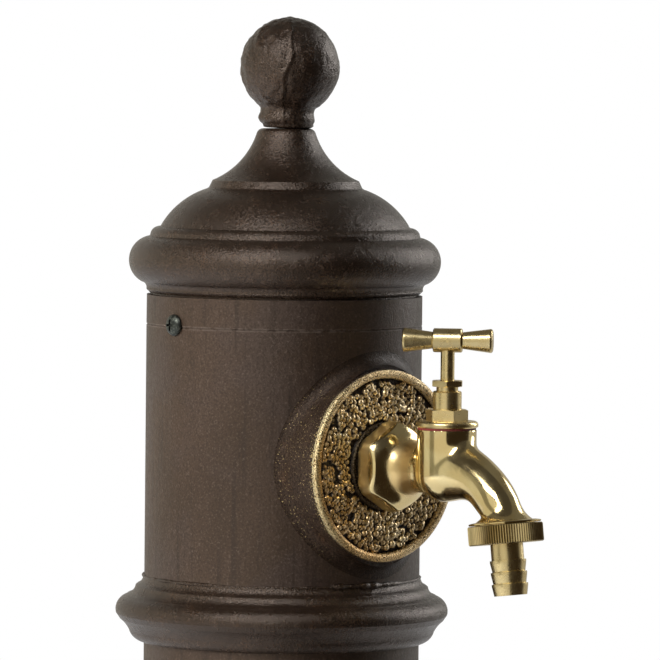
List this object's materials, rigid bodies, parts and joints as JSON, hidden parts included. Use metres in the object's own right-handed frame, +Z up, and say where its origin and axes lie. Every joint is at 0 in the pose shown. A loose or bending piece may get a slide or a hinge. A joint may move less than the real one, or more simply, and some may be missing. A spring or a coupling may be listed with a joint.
{
  "type": "garden fountain",
  "caption": "Free-standing garden water column with a domed cap and ball finial, a round rosette boss and a brass bib tap with a hose tail.",
  "frame": {"origin": "centre of the foot's underside, on the ground", "axes": "+Z up along the column, -Y out along the tap's inlet, +X to the right seen from the front"},
  "size_m": [0.24, 0.283, 0.9832],
  "materials": {
    "cast_iron": "rough sand casting, painted dark brown",
    "painted_tube": "smooth dark brown paint, satin",
    "aged_brass": "antique gold over a dark patina",
    "polished_brass": "mirror polished",
    "turned_brass": "turned, satin",
    "zinc_steel": "zinc plated",
    "dark_screw": "blackened, satin",
    "red_fibre": "red fibre sealing washer",
    "black_rubber": "matt sealing rubber"
  },
  "bodies": {
    "root": {"foot_casting": "cast_iron", "column_tube": "painted_tube", "mid_ring": "cast_iron", "cap_dome": "cast_iron", "finial_ball": "cast_iron", "boss_casting": "painted_tube", "rosette_plate": "aged_brass", "foot_set_screws": "zinc_steel", "cap_screws": "dark_screw", "finial_stud": "zinc_steel", "finial_washer": "zinc_steel", "finial_nut": "zinc_steel", "bulkhead_fitting": "turned_brass", "bulkhead_nut": "turned_brass", "supply_elbow": "turned_brass", "riser_pipe": "zinc_steel", "inlet_coupling": "turned_brass", "tap_body": "polished_brass", "inlet_washer": "black_rubber", "bonnet_washer": "red_fibre", "bonnet": "turned_brass", "packing_ring": "black_rubber", "gland_nut": "turned_brass"},
    "jumper": {"jumper": "turned_brass", "jumper_washer": "black_rubber", "jumper_nut": "turned_brass"},
    "spindle": {"spindle": "turned_brass", "handle_hub": "turned_brass", "handle_grip_right": "turned_brass", "handle_grip_left": "turned_brass", "handle_pin": "turned_brass"},
    "hose_tail": {"hose_tail": "turned_brass", "tail_washer": "black_rubber"},
    "union_nut": {"union_nut": "turned_brass"}
  },
  "joints": [
    {"name": "spindle_lift", "type": "slide", "parent": "root", "child": "jumper", "axis": [0, 0, 1], "range_m": [0, 0.0045]},
    {"name": "handle_turn", "type": "hinge", "parent": "jumper", "child": "spindle", "pos_m": [0, -0.1077, 0.8386], "axis": [0, 0, 1], "range_deg": [0, 810]},
    {"name": "tail_drop", "type": "slide", "parent": "root", "child": "hose_tail", "axis": [0, -0.1323, -0.9912], "range_m": [0, 0.00409]},
    {"name": "nut_turn", "type": "hinge", "parent": "hose_tail", "child": "union_nut", "pos_m": [0, -0.14573, 0.75474], "axis": [0, -0.1323, -0.9912], "range_deg": [0, 810]}
  ],
  "couplings": [
    {"joint": "spindle_lift", "follows": "handle_turn", "m_per_rad": 0.0003183},
    {"joint": "tail_drop", "follows": "nut_turn", "m_per_rad": 0.0002887}
  ]
}
